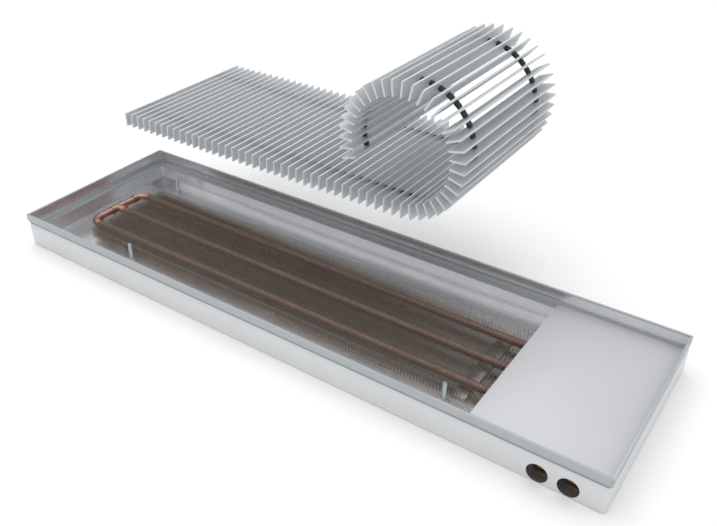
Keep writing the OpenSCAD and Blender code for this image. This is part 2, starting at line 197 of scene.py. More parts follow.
# %% Rim and slats
def anodised(name, axis, dark, light, roughness):
    """Extruded and anodised aluminium with its die lines along one axis."""
    material, tree, shader, place = start_material(name, 0.45, roughness)
    die = lines(tree, place, axis, spacing=0.8 * MM, length=120 * MM)
    colour(tree, shader, die, dark, light)
    roughen(tree, shader, clouds(tree, place, 40 * MM), roughness - 0.04, roughness + 0.05)
    raise_surface(tree, shader, die, 0.012 * MM)
    return material


rim_along_x = anodised("anodised_aluminium_extruded_long_rails", 0, "#aeb3b6", "#b8bdc0", 0.45)
rim_along_y = anodised("anodised_aluminium_extruded_short_rails", 1, "#aeb3b6", "#b8bdc0", 0.45)
slat_metal = anodised("anodised_aluminium_extruded_slats", 1, "#d1d5d8", "#dbdfe1", 0.52)
print(rim_along_x.name, rim_along_y.name, slat_metal.name)

# %% [markdown]
# ## Cover sheet
#
# The plate over the connections is steel sheet with a pale powder coat. Powder melts to a smooth,
# slightly wavy skin with hardly any direction, which gives the eye one calm, even field.

# %% Cover plate
cover_sheet, tree, shader, place = start_material("powder_coated_steel_pale", 0.25, 0.4)
colour(tree, shader, clouds(tree, place, 90 * MM), "#c2c3c6", "#c7c8cb")
roughen(tree, shader, clouds(tree, place, 25 * MM), 0.4, 0.46)
raise_surface(tree, shader, clouds(tree, place, 1.6 * MM), 0.008 * MM)
print(cover_sheet.name)

# %% [markdown]
# ## Rubber and foam
#
# The sleeves between the slats are moulded rubber, matt and dark grey, with paler scuffs. The tape on
# the ledges is a paler foam, so it is covered with open pores about half a millimetre wide. They are
# drawn 0.9 mm apart, as pits whose colour darkens towards their middle: painted shade in the pores.

# %% Sleeves and tape
sleeve_rubber, tree, shader, place = start_material("rubber_moulded_sleeves", 0.0, 0.62)
colour(tree, shader, clouds(tree, place, 3 * MM), "#24282a", "#3d4245")
raise_surface(tree, shader, clouds(tree, place, 0.8 * MM), 0.02 * MM)

tape_foam, tree, shader, place = start_material("rubber_foamed_tape", 0.0, 0.9)
pore_size = 0.9 * MM
# The pits are coloured darker towards their middle: painted shade in the pores.
pore_pits_and_shade = add_node(tree, "ShaderNodeTexVoronoi", inputs={"Vector": place, "Scale": 1 / pore_size})
colour(tree, shader, pore_pits_and_shade.outputs["Distance"], "#85898c", "#a3a7aa")
raise_surface(tree, shader, pore_pits_and_shade.outputs["Distance"], 0.1 * MM)
print(sleeve_rubber.name, tape_foam.name)

# %% [markdown]
# ## Fin sheet
#
# The fins are stamped from thin aluminium strip with a dull brown coat. Their colour is mixed along
# the heater into light and dark bands that are the same on every fin: painted light and shade for the
# shading of the waves from end to end. A second pattern, which changes from fin to fin, makes some fins
# a little more matt than their neighbours.
#
# In the photograph the tubes and the floor show through the fins, as they do through sheet that is
# pierced all over with fine slits. The slits are far finer than a pixel, so they aren't drawn one by
# one: the shader's alpha gives the share of the sheet that they leave.

# %% Fins
fin_sheet, tree, shader, place = start_material("aluminium_stamped_fins_coated", 0.3, 0.5)
# Light and dark bands along the heater: painted light and shade of the waves.
painted_wave_shade_bands = lines(tree, place, axis=0, spacing=7 * MM, length=3000 * MM)
colour(tree, shader, painted_wave_shade_bands, "#75665a", "#dccfc2")
marks = lines(tree, place, axis=1, spacing=5 * MM, length=300 * MM)
roughen(tree, shader, marks, 0.4, 0.6)
raise_surface(tree, shader, clouds(tree, place, 2 * MM), 0.02 * MM)
share_of_metal = 0.27
shader.inputs["Alpha"].default_value = share_of_metal
print(fin_sheet.name)

# %% [markdown]
# ## Copper and brass
#
# The tubes are drawn, so their lines run along them, and after soldering the copper has dulled to
# darker, browner patches. The fittings are pressed from the same copper. Between the fins the tubes
# are drawn in a browner, darker and rougher copper: the darker colour is painted shade of the fins.
# The valves are turned from brass bar, which leaves fine rings: lines that are short along the bar and
# long round it. Brass is a yellow metal; here it is drawn a dark olive brown, painted shade that makes
# the pipe holes in front of it look dark.

# %% Tubes, fittings and valves
def dulled_copper(name, metallic, dark, light, roughness):
    """Drawn copper with fine lines along X and patches of patina."""
    material, tree, shader, place = start_material(name, metallic, roughness)
    colour(tree, shader, clouds(tree, place, 14 * MM), dark, light)
    roughen(tree, shader, clouds(tree, place, 6 * MM), roughness - 0.08, roughness + 0.1)
    drawing = lines(tree, place, axis=0, spacing=0.8 * MM, length=60 * MM)
    raise_surface(tree, shader, drawing, 0.01 * MM)
    return material


copper = dulled_copper("copper_drawn_slightly_dulled", 1.0, "#9a6f63", "#c9a094", 0.34)
# A browner, darker copper for the tubes among the fins: painted shade.
copper_painted_shade = dulled_copper("copper_drawn_painted_shade", 0.6, "#6e584f", "#8f766c", 0.5)

# A dark olive brown for the brass behind the pipe holes: painted shade.
brass, tree, shader, place = start_material("brass_turned_painted_shade", 1.0, 0.3)
colour(tree, shader, clouds(tree, place, 10 * MM), "#7a6536", "#a08650")
turning = lines(tree, place, axis=0, spacing=30 * MM, length=0.7 * MM)
raise_surface(tree, shader, turning, 0.008 * MM)
print(copper.name, copper_painted_shade.name, brass.name)

# %% [markdown]
# ## Plastic and zinc plate
#
# The supply valve's knob is moulded in white plastic with a fine spark-eroded grain. Screws, nuts and
# brackets are plated with zinc, a pale bluish metal that is never quite even.

# %% Knob, screws and brackets
knob_plastic, tree, shader, place = start_material("abs_moulded_white", 0.0, 0.45)
colour(tree, shader, clouds(tree, place, 8 * MM), "#e2e2de", "#efefec")
raise_surface(tree, shader, clouds(tree, place, 0.6 * MM), 0.02 * MM)

zinc_steel, tree, shader, place = start_material("steel_zinc_plated", 1.0, 0.35)
colour(tree, shader, clouds(tree, place, 5 * MM), "#b3b9bf", "#cfd4d8")
roughen(tree, shader, clouds(tree, place, 3 * MM), 0.28, 0.45)
print(knob_plastic.name, zinc_steel.name)

# %% [markdown]
# ## Pieces and edges
#
# A finished piece is a mesh with its materials, on the body that carries it. The nodes of the solid
# model that it takes the place of are hidden.
#
# No real edge is sharp: a folded, sawn or cast edge has a small round that catches a line of light. A
# CAD surface comes as loose triangles, so a copy of it is merged into one skin first, its flat faces are
# joined, and a Bevel modifier then rounds every edge that is sharp enough.

# %% Turn a mesh into a piece
sharp_from = math.radians(32)


def make_piece(name, mesh, materials, body, stands_for=()):
    """A finished piece from a mesh: smooth except at sharp edges, on its body, for these nodes."""
    mesh.name = name
    if list(mesh.materials) != materials:
        mesh.materials.clear()
        for material in materials:
            mesh.materials.append(material)
    mesh.shade_smooth()
    mesh.set_sharp_from_angle(angle=sharp_from)
    piece = bpy.data.objects.new(name, mesh)
    bpy.context.scene.collection.objects.link(piece)
    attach(piece, body)
    if stands_for:
        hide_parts(*stands_for)
    return piece


def as_mesh(shape, name, materials=()):
    """A bmesh written to a mesh with these materials, and freed."""
    mesh = bpy.data.meshes.new(name)
    for material in materials:
        mesh.materials.append(material)
    shape.to_mesh(mesh)
    shape.free()
    return mesh


print("edges stay sharp from", round(math.degrees(sharp_from)), "degrees")

# %% Settle modifiers, and round edges with one
def draft_object(mesh):
    """A passing object that carries modifiers until its mesh is settled."""
    draft = bpy.data.objects.new("draft", mesh)
    bpy.context.scene.collection.objects.link(draft)
    return draft


def settled(draft):
    """The mesh that an object's modifiers make, as a plain mesh; the draft itself is removed."""
    shown = draft.evaluated_get(bpy.context.evaluated_depsgraph_get())
    mesh = bpy.data.meshes.new_from_object(shown)
    bpy.data.objects.remove(draft)
    return mesh


def rounded(mesh, radius, sharp=40, segments=2):
    """A mesh with every edge sharper than this many degrees rounded."""
    draft = draft_object(mesh)
    bevel = draft.modifiers.new("Rounded edges", "BEVEL")
    bevel.width = radius
    bevel.segments = segments
    bevel.limit_method = "ANGLE"
    bevel.angle_limit = math.radians(sharp)
    return settled(draft)


print("a bevel rounds the edges that are sharper than 40 degrees")

# %% Dress the CAD pieces
def merged_copy(name):
    """A CAD node's mesh as one skin, with its flat faces joined."""
    skin = bmesh.new()
    skin.from_mesh(nodes[name].data)
    bmesh.ops.remove_doubles(skin, verts=skin.verts, dist=0.001 * MM)
    flat = math.radians(0.5)
    bmesh.ops.dissolve_limit(skin, angle_limit=flat, verts=skin.verts, edges=skin.edges)
    return as_mesh(skin, name)


def dress(name, material, radius, body="trough"):
    """The node with rounded edges and its finish, as a piece that stands for it."""
    mesh = merged_copy(name)
    if radius:
        mesh = rounded(mesh, radius)
    return make_piece(name + "_finished", mesh, [material], body, [name])


for name in ("rim_rail_front", "rim_rail_back"):
    dress(name, rim_along_x, 0.4 * MM)
for name in ("rim_rail_left", "rim_rail_right"):
    dress(name, rim_along_y, 0.4 * MM)
dress("grille_ledges", rim_along_x, 0.2 * MM)
dress("damping_tapes", tape_foam, 0.3 * MM)
dress("cover_plate", cover_sheet, 0.3 * MM, "cover")
dress("exchanger_brackets", zinc_steel, 0.25 * MM)
dress("levelling_nuts", zinc_steel, 0.4 * MM)
dress("exchanger_tubes", copper_painted_shade, 0)
dress("link_pipes", copper, 0)
dress("pipe_fittings", copper, 0)
dress("valve_bodies", brass, 0.3 * MM)
dress("bleed_valve_body", brass, 0.2 * MM)
dress("bleed_screw", brass, 0.2 * MM, "bleed_key_screw")
dress("return_valve_cap", brass, 0.4 * MM, "return_cap")
dress("supply_valve_knob", knob_plastic, 0.5 * MM, "supply_knob")
print("rails, ledges, tape, cover, brackets, tubes and valves dressed")

# %% [markdown]
# ## The folded trough
#
# The real trough is one sheet, folded up at the floor, in again at the shoulder and up once more under
# the rim. It could be made by beveling boxes, but a fold is a round of a certain radius, inside and out.
# So the sheet's cross-section is drawn once, corner by corner, each corner is given its bending radius,
# and the section is carried round the trough's outline. The outline itself has rounded corners that get
# tighter as the sheet steps in.

# %% Draw the section of the sheet
floor_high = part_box("trough_floor")[1]
wall_low, wall_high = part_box("trough_wall_front")
half_l, half_w = floor_high.x, floor_high.y
sheet_t = floor_high.z
lip_top = wall_high.z
shoulder_in = wall_high.y - wall_low.y - sheet_t
wall_top = 35.5 * MM
shoulder_top = 42 * MM
floor_edge = 16 * MM
bend_r = 1.6 * MM
lip_edge_r = sheet_t / 4


def round_corner(before, corner, after, radius, steps=4):
    """Points of an arc that rounds one corner of a section."""
    one = (before - corner).normalized()
    two = (after - corner).normalized()
    half = one.angle(two) / 2
    reach = min(radius / math.tan(half), (before - corner).length / 2, (after - corner).length / 2)
    middle = corner + (one + two).normalized() * (reach / math.cos(half))
    start = corner + one * reach - middle
    end = corner + two * reach - middle
    turn = start.angle(end)
    arc = []
    for i in range(steps + 1):
        share = i / steps
        spoke = start * math.sin((1 - share) * turn) + end * math.sin(share * turn)
        arc.append(middle + spoke / math.sin(turn))
    return arc


knee = sheet_t * math.tan(math.atan2(shoulder_in, shoulder_top - wall_top) / 2)
section_corners = [
    ((floor_edge, 0), 0),
    ((0, 0), bend_r + sheet_t),
    ((0, wall_top), bend_r),
    ((shoulder_in, shoulder_top), bend_r + sheet_t),
    ((shoulder_in, lip_top), lip_edge_r),
    ((shoulder_in + sheet_t, lip_top), lip_edge_r),
    ((shoulder_in + sheet_t, shoulder_top - knee), bend_r),
    ((sheet_t, wall_top - knee), bend_r + sheet_t),
    ((sheet_t, sheet_t), bend_r),
    ((floor_edge, sheet_t), 0),
]
section = [Vector(section_corners[0][0])]
for i in range(1, len(section_corners) - 1):
    before, corner, after = (Vector(section_corners[k][0]) for k in (i - 1, i, i + 1))
    section += round_corner(before, corner, after, section_corners[i][1])
section.append(Vector(section_corners[-1][0]))
print(len(section), "points in the sheet's section")

# %% Carry the section round the outline
corner_r = 6 * MM
least_corner_r = 0.4 * MM


def outline(across, height, steps=8):
    """Points of the trough's rounded outline, moved in by this distance."""
    radius = max(corner_r - across, least_corner_r)
    ring = []
    for k, (sx, sy) in enumerate(((1, 1), (-1, 1), (-1, -1), (1, -1))):
        for i in range(steps + 1):
            angle = math.radians(90 * (k + i / steps))
            x = sx * (half_l - across - radius) + radius * math.cos(angle)
            y = sy * (half_w - across - radius) + radius * math.sin(angle)
            ring.append((x, y, height))
    return ring


def band(shape, low, high, material_index=0):
    """Faces between two closed rings of a bmesh that have the same number of points."""
    for i in range(len(low)):
        j = (i + 1) % len(low)
        face = shape.faces.new((low[i], low[j], high[j], high[i]))
        face.material_index = material_index


INSIDE, OUTSIDE = 0, 1
sheet = bmesh.new()
rings = [[sheet.verts.new(p) for p in outline(point.x, point.y)] for point in section]
inside_from = max(range(len(section)), key=lambda k: (section[k].y, section[k].x))
for k, (low, high) in enumerate(zip(rings, rings[1:])):
    band(sheet, low, high, OUTSIDE if k < inside_from else INSIDE)
sheet.faces.new(rings[0]).material_index = OUTSIDE
sheet.faces.new(rings[-1]).material_index = INSIDE
bmesh.ops.recalc_face_normals(sheet, faces=sheet.faces)
trough_mesh = as_mesh(sheet, "trough_sheet", [sheet_inside, sheet_outside_painted_shade])
print("folded sheet of", len(trough_mesh.polygons), "faces")

# %% [markdown]
# ## Holes in the sheet
#
# Two pipe holes are punched in the front wall and four screw holes in the floor. A Boolean modifier
# takes plain cylinders away from the sheet, as the punch does, and a small bevel rounds the punched
# edges. The places of the holes are those of the pipes and screws that go through them. The mesh has its
# materials before the Boolean runs, because only then does each face keep its own.

# %% Cut one mesh with another
def cut_away(mesh, tool, label):
    """The mesh with another one taken away from it by a Boolean modifier."""
    tool_object = draft_object(tool)
    draft = draft_object(mesh)
    cut = draft.modifiers.new(label, "BOOLEAN")
    cut.operation = "DIFFERENCE"
    cut.solver = "EXACT"
    cut.object = tool_object
    result = settled(draft)
    bpy.data.objects.remove(tool_object)
    return result


print("the Boolean solver is the exact one")

# %% Punch the holes
punch_depth = 8 * MM
punch_sides = 48
screw_clearance = 0.5 * MM


def punch(place, direction, radius):
    """Where a cylinder stands across a hole, as values for create_cone."""
    turn = direction.to_track_quat("Z", "Y").to_matrix().to_4x4()
    return {"segments": punch_sides, "radius1": radius, "radius2": radius, "depth": punch_depth,
            "matrix": Matrix.Translation(place) @ turn}


mounts = {mount["name"]: mount for mount in frame["record"]["mounts"]}
punches = []
for name in ("supply_pipe_hole", "return_pipe_hole"):
    hole = mounts[name]
    punches.append(punch(Vector(hole["pos_m"]), Vector(hole["axis"]), hole["dims"]["r_mm"] * MM))
for i in range(1, 5):
    low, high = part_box(f"levelling_screw_{i}")
    middle = (low + high) / 2
    radius = (high.x - low.x) / 2 + screw_clearance
    punches.append(punch(Vector((middle.x, middle.y, 0)), Vector((0, 0, 1)), radius))
cutter = bmesh.new()
for hole in punches:
    bmesh.ops.create_cone(cutter, cap_ends=True, **hole)
punched = cut_away(trough_mesh, as_mesh(cutter, "punches"), "Punched holes")
punched = rounded(punched, 0.2 * MM, sharp=60, segments=1)
trough_nodes = ["trough_floor", "trough_wall_front", "trough_wall_back", "trough_ends",
                "trough_corners"]
make_piece("trough_sheet", punched, [sheet_inside, sheet_outside_painted_shade], "trough",
           trough_nodes)
print("trough with", len(punches), "holes:", len(punched.polygons), "faces")

# %% [markdown]
# ## Seal under the rim
#
# Where the rim's band ends, a thin strip of the same foam as the tape closes the joint against the
# shoulder of the sheet. In the band's shadow it draws the dark line round the heater. It is a strip of
# rectangular section carried round the same outline as the sheet.

# %% Lay the seal round the trough
band_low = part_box("rim_rail_front")[0].z
seal_low = shoulder_top - 0.1 * MM
seal_out = 0.4 * MM
seal_section = [(seal_out, seal_low), (seal_out, band_low), (shoulder_in, band_low),
                (shoulder_in, seal_low)]
seal = bmesh.new()
rings = [[seal.verts.new(p) for p in outline(across, height)] for across, height in seal_section]
for low, high in zip(rings, rings[1:] + rings[:1]):
    band(seal, low, high)
bmesh.ops.recalc_face_normals(seal, faces=seal.faces)
make_piece("rim_seal", as_mesh(seal, "rim_seal"), [tape_foam], "trough")
print("seal", round((band_low - seal_low) / MM, 2), "mm high")

# %% [markdown]
# ## Geometry Nodes trees
#
# Fins, slats and sleeves repeat many times. Each kind is one tree with named inputs for its sizes, so
# the same tree makes a row of forty slats or a single one. The tree is put on a passing object, its
# inputs are set by their identifiers, and the result is settled into a plain mesh.

# %% Start a tree, end a tree, and use one
def start_tree(name, inputs):
    """A Geometry Nodes tree with these named inputs, as (tree, its inputs' sockets, output node)."""
    tree = bpy.data.node_groups.new(name, "GeometryNodeTree")
    for label, kind in inputs.items():
        tree.interface.new_socket(name=label, in_out="INPUT", socket_type="NodeSocket" + kind)
    tree.interface.new_socket(name="Geometry", in_out="OUTPUT", socket_type="NodeSocketGeometry")
    given = add_node(tree, "NodeGroupInput").outputs
    return tree, given, add_node(tree, "NodeGroupOutput")


def end_tree(tree, given, out, geometry):
    """Turns about Y, moves to the pivot, realizes the instances and sets the material."""
    axis = add_node(tree, "ShaderNodeCombineXYZ", inputs={"Y": given["Turn"]}).outputs[0]
    moved = {"Geometry": geometry, "Translation": given["Pivot"], "Rotation": axis}
    placed = add_node(tree, "GeometryNodeTransform", inputs=moved).outputs[0]
    real = add_node(tree, "GeometryNodeRealizeInstances", inputs={0: placed}).outputs[0]
    finish = {"Geometry": real, "Material": given["Material"]}
    finished = add_node(tree, "GeometryNodeSetMaterial", inputs=finish).outputs[0]
    tree.links.new(finished, out.inputs[0])


def grow(tree, values):
    """The plain mesh that a tree makes with these input values."""
    draft = draft_object(bpy.data.meshes.new("draft"))
    modifier = draft.modifiers.new(tree.name, "NODES")
    modifier.node_group = tree
    for item in tree.interface.items_tree:
        if item.in_out == "INPUT" and item.name in values:
            modifier[item.identifier] = values[item.name]
    return settled(draft)


print("trees are started, ended and grown by three functions")

# %% [markdown]
# ## Slats
#
# A slat is a thin upright bar, extruded and sawn to length, with its long edges broken by the die. The
# tree draws the bar's cross-section as a rectangle with filleted corners and sweeps it along the slat's
# length, then sets one copy at each place of a row. The rolled slats use the same tree with a row of
# one, turned about the line where the slat hinges on the one before.

# %% The tree for slats
slat_inputs = {"Length": "Float", "Height": "Float", "Thickness": "Float", "Edge": "Float",
               "Count": "Int", "Pitch": "Float", "Offset": "Vector", "Turn": "Float",
               "Pivot": "Vector", "Material": "Material"}
slat_tree, given, out = start_tree("slat_row", slat_inputs)
section_of_slat = add_node(slat_tree, "GeometryNodeCurvePrimitiveQuadrilateral",
                           inputs={"Width": given["Thickness"], "Height": given["Height"]})
soft_section = add_node(slat_tree, "GeometryNodeFilletCurve",
                        inputs={"Curve": section_of_slat.outputs[0], "Radius": given["Edge"]})
half_length = add_node(slat_tree, "ShaderNodeMath", {"operation": "MULTIPLY"},
                       {0: given["Length"], 1: 0.5})
minus_half = add_node(slat_tree, "ShaderNodeMath", {"operation": "MULTIPLY"},
                      {0: given["Length"], 1: -0.5})
path_start = add_node(slat_tree, "ShaderNodeCombineXYZ", inputs={"Y": minus_half.outputs[0]})
path_end = add_node(slat_tree, "ShaderNodeCombineXYZ", inputs={"Y": half_length.outputs[0]})
path = add_node(slat_tree, "GeometryNodeCurvePrimitiveLine",
                inputs={"Start": path_start.outputs[0], "End": path_end.outputs[0]})
bar = add_node(slat_tree, "GeometryNodeCurveToMesh",
               inputs={"Curve": path.outputs[0], "Profile Curve": soft_section.outputs[0],
                       "Fill Caps": True})
step = add_node(slat_tree, "ShaderNodeCombineXYZ", inputs={"X": given["Pitch"]})
row = add_node(slat_tree, "GeometryNodeMeshLine",
               inputs={"Count": given["Count"], "Start Location": given["Offset"],
                       "Offset": step.outputs[0]})
copies = add_node(slat_tree, "GeometryNodeInstanceOnPoints",
                  inputs={"Points": row.outputs[0], "Instance": bar.outputs[0]})
end_tree(slat_tree, given, out, copies.outputs[0])
print("slat tree of", len(slat_tree.nodes), "nodes")

# %% Measure the grille from the frame
flat_low, flat_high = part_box("grille_slats")
roll_count = sum(name.startswith("roll_hinge_") for name in joints)
hinges = [Vector(joints[f"roll_hinge_{i:02d}"]["pos_m"]) for i in range(1, roll_count + 1)]
slat_pitch = (hinges[1] - hinges[0]).length
roll_step = math.atan2(hinges[1].z - hinges[0].z, hinges[1].x - hinges[0].x)
slat_count = int((flat_high.x - flat_low.x) / slat_pitch) + 1
slat_t = (flat_high.x - flat_low.x) - (slat_count - 1) * slat_pitch
slat_size = {"Length": flat_high.y - flat_low.y, "Height": flat_high.z - flat_low.z,
             "Thickness": slat_t, "Edge": 0.5 * MM, "Pitch": slat_pitch, "Material": slat_metal}
grille_y = (flat_low.y + flat_high.y) / 2
print("pitch", round(slat_pitch / MM, 2), "mm, turn", round(math.degrees(roll_step), 2), "degrees")

# %% Grow the flat slats and the rolled ones
first_slat = (flat_low.x + slat_t / 2, grille_y, hinges[0].z)
mesh = grow(slat_tree, {**slat_size, "Count": slat_count, "Pivot": first_slat})
make_piece("flat_slats", mesh, [slat_metal], "grille", ["grille_slats"])
for i, hinge in enumerate(hinges, 1):
    turned = {"Count": 1, "Offset": (slat_pitch - slat_t / 2, 0, 0), "Turn": -i * roll_step,
              "Pivot": (hinge.x, grille_y, hinge.z)}
    mesh = grow(slat_tree, {**slat_size, **turned})
    name = f"{i:02d}"
    make_piece("slat_finished_" + name, mesh, [slat_metal], "slat_" + name,
               ["rolled_slat_" + name])
print(slat_count, "flat slats and", roll_count, "rolled ones")

# %% [markdown]
# ## Sleeves
#
# Two rows of rubber sleeves keep the slats apart and let the grille roll. A sleeve is swept along a
# short path whose scale changes on the way, so its ends are drawn in and its middle is full. The two
# rows are a grid of points: as many along the grille as there are gaps, and two across it.

# %% The tree for sleeves: one sleeve
sleeve_rings = 9
sleeve_sides = 14
drawn_in = 0.78
fullness = 8.0
sleeve_inputs = {"Length": "Float", "Radius": "Float", "Count": "Int", "Pitch": "Float",
                 "Rows apart": "Float", "Offset": "Vector", "Turn": "Float", "Pivot": "Vector",
                 "Material": "Material"}
sleeve_tree, given, out = start_tree("sleeve_rows", sleeve_inputs)
end = add_node(sleeve_tree, "ShaderNodeCombineXYZ", inputs={"X": given["Length"]})
path = add_node(sleeve_tree, "GeometryNodeCurvePrimitiveLine", inputs={"End": end.outputs[0]})
points = add_node(sleeve_tree, "GeometryNodeResampleCurve",
                  inputs={"Curve": path.outputs[0], "Count": sleeve_rings})
along = add_node(sleeve_tree, "GeometryNodeSplineParameter")
centred = add_node(sleeve_tree, "ShaderNodeMapRange",
                   inputs={0: along.outputs["Factor"], 3: -1.0, 4: 1.0})
steep = add_node(sleeve_tree, "ShaderNodeMath", {"operation": "POWER"},
                 {0: centred.outputs[0], 1: fullness})
full = add_node(sleeve_tree, "ShaderNodeMapRange",
                inputs={0: steep.outputs[0], 3: 1.0, 4: drawn_in})
ring = add_node(sleeve_tree, "GeometryNodeCurvePrimitiveCircle",
                inputs={"Resolution": sleeve_sides, "Radius": given["Radius"]})
sleeve = add_node(sleeve_tree, "GeometryNodeCurveToMesh",
                  inputs={"Curve": points.outputs[0], "Profile Curve": ring.outputs[0],
                          "Scale": full.outputs[0], "Fill Caps": True})
print("one sleeve takes", len(sleeve_tree.nodes), "nodes")

# %% The tree for sleeves: the rows
gaps = add_node(sleeve_tree, "ShaderNodeMath", {"operation": "SUBTRACT"}, {0: given["Count"], 1: 1.0})
wide = add_node(sleeve_tree, "ShaderNodeMath", {"operation": "MULTIPLY"},
                {0: gaps.outputs[0], 1: given["Pitch"]})
spots = add_node(sleeve_tree, "GeometryNodeMeshGrid",
                 inputs={"Size X": wide.outputs[0], "Size Y": given["Rows apart"],
                         "Vertices X": given["Count"], "Vertices Y": 2})
half_wide = add_node(sleeve_tree, "ShaderNodeMath", {"operation": "MULTIPLY"},
                     {0: wide.outputs[0], 1: 0.5})
shift = add_node(sleeve_tree, "ShaderNodeCombineXYZ", inputs={"X": half_wide.outputs[0]})
from_start = add_node(sleeve_tree, "ShaderNodeVectorMath", {"operation": "ADD"},
                      {0: shift.outputs[0], 1: given["Offset"]})
spots_moved = add_node(sleeve_tree, "GeometryNodeTransform",
                       inputs={"Geometry": spots.outputs[0], "Translation": from_start.outputs[0]})
copies = add_node(sleeve_tree, "GeometryNodeInstanceOnPoints",
                  inputs={"Points": spots_moved.outputs[0], "Instance": sleeve.outputs[0]})
end_tree(sleeve_tree, given, out, copies.outputs[0])
print("sleeve tree of", len(sleeve_tree.nodes), "nodes")

# %% Grow the sleeves
sleeve_low, sleeve_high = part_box("grille_spacers")
sleeve_r = (sleeve_high.z - sleeve_low.z) / 2
sleeve_l = slat_pitch - slat_t
free_gap = 0.3 * MM
hinge_gap = (free_gap + sleeve_r * math.sin(roll_step)) / math.cos(roll_step)
rows_apart = sleeve_high.y - sleeve_low.y - 2 * sleeve_r
sleeve_size = {"Radius": sleeve_r, "Pitch": slat_pitch, "Rows apart": rows_apart,
               "Material": sleeve_rubber}
flat_row = {"Length": sleeve_l, "Count": slat_count - 1, "Offset": (slat_t / 2, 0, 0),
            "Pivot": first_slat}
mesh = grow(sleeve_tree, {**sleeve_size, **flat_row})
make_piece("flat_sleeves", mesh, [sleeve_rubber], "grille", ["grille_spacers"])
for i, hinge in enumerate(hinges, 1):
    turned = {"Length": sleeve_l - hinge_gap, "Count": 1, "Offset": (hinge_gap, 0, 0),
              "Turn": -i * roll_step, "Pivot": (hinge.x, grille_y, hinge.z)}
    mesh = grow(sleeve_tree, {**sleeve_size, **turned})
    name = f"{i:02d}"
    make_piece("sleeves_" + name, mesh, [sleeve_rubber], "slat_" + name)
print("sleeves of", round(sleeve_l / MM, 1), "mm")

# %% [markdown]
# ## Fins
#
# A fin is a thin plate with three holes for the tubes, pressed into low waves that stiffen it and stir
# the air. The tree takes three cylinders away from a plate that is divided along its width, bends the
# result into waves, and repeats it. Because all the waves line up, they show as long bands from end to
# end of the heater. At its front a fin is folded over to meet the next one, so a small tab closes the
# pack's front but for a fine line at every fin. At the back the fins stay open and the light comes in.

# %% The tree for fins: plate and holes
tube_count = 3
points_across = 17
drill_sides = 12
drill_depth = 4 * MM
fin_inputs = {"Width": "Float", "Height": "Float", "Thickness": "Float", "Tube pitch": "Float",
              "Hole radius": "Float", "Hole height": "Float", "Wave length": "Float",
              "Wave height": "Float", "Tab length": "Float", "Count": "Int", "Pitch": "Float",
              "Turn": "Float", "Pivot": "Vector", "Material": "Material"}
fin_tree, given, out = start_tree("fin_stack", fin_inputs)
plate_size = add_node(fin_tree, "ShaderNodeCombineXYZ",
                      inputs={"X": given["Thickness"], "Y": given["Width"], "Z": given["Height"]})
plate = add_node(fin_tree, "GeometryNodeMeshCube",
                 inputs={"Size": plate_size.outputs[0], "Vertices X": 2, "Vertices Y": points_across,
                         "Vertices Z": 2})
drill = add_node(fin_tree, "GeometryNodeMeshCylinder",
                 inputs={"Vertices": drill_sides, "Radius": given["Hole radius"],
                         "Depth": drill_depth})
first_hole = add_node(fin_tree, "ShaderNodeMath", {"operation": "MULTIPLY"},
                      {0: given["Tube pitch"], 1: -1.0})
hole_start = add_node(fin_tree, "ShaderNodeCombineXYZ",
                      inputs={"Y": first_hole.outputs[0], "Z": given["Hole height"]})
hole_step = add_node(fin_tree, "ShaderNodeCombineXYZ", inputs={"Y": given["Tube pitch"]})
hole_places = add_node(fin_tree, "GeometryNodeMeshLine",
                       inputs={"Count": tube_count, "Start Location": hole_start.outputs[0],
                               "Offset": hole_step.outputs[0]})
drills = add_node(fin_tree, "GeometryNodeInstanceOnPoints",
                  inputs={"Points": hole_places.outputs[0], "Instance": drill.outputs[0],
                          "Rotation": (0, math.radians(90), 0)})
holed = add_node(fin_tree, "GeometryNodeMeshBoolean",
                 {"operation": "DIFFERENCE", "solver": "EXACT"},
                 {"Mesh 1": plate.outputs[0], "Mesh 2": drills.outputs[0]})
print("plate and holes take", len(fin_tree.nodes), "nodes")

# %% The tree for fins: waves
spot = add_node(fin_tree, "GeometryNodeInputPosition")
spot_parts = add_node(fin_tree, "ShaderNodeSeparateXYZ", inputs={0: spot.outputs[0]})
turns = add_node(fin_tree, "ShaderNodeMath", {"operation": "DIVIDE"},
                 {0: spot_parts.outputs["Y"], 1: given["Wave length"]})
angle = add_node(fin_tree, "ShaderNodeMath", {"operation": "MULTIPLY"},
                 {0: turns.outputs[0], 1: math.tau})
wave = add_node(fin_tree, "ShaderNodeMath", {"operation": "COSINE"}, {0: angle.outputs[0]})
swing = add_node(fin_tree, "ShaderNodeMath", {"operation": "MULTIPLY"},
                 {0: wave.outputs[0], 1: given["Wave height"]})
sideways = add_node(fin_tree, "ShaderNodeCombineXYZ", inputs={"X": swing.outputs[0]})
waved = add_node(fin_tree, "GeometryNodeSetPosition",
                 inputs={"Geometry": holed.outputs["Mesh"], "Offset": sideways.outputs[0]})
print("with the waves", len(fin_tree.nodes), "nodes")

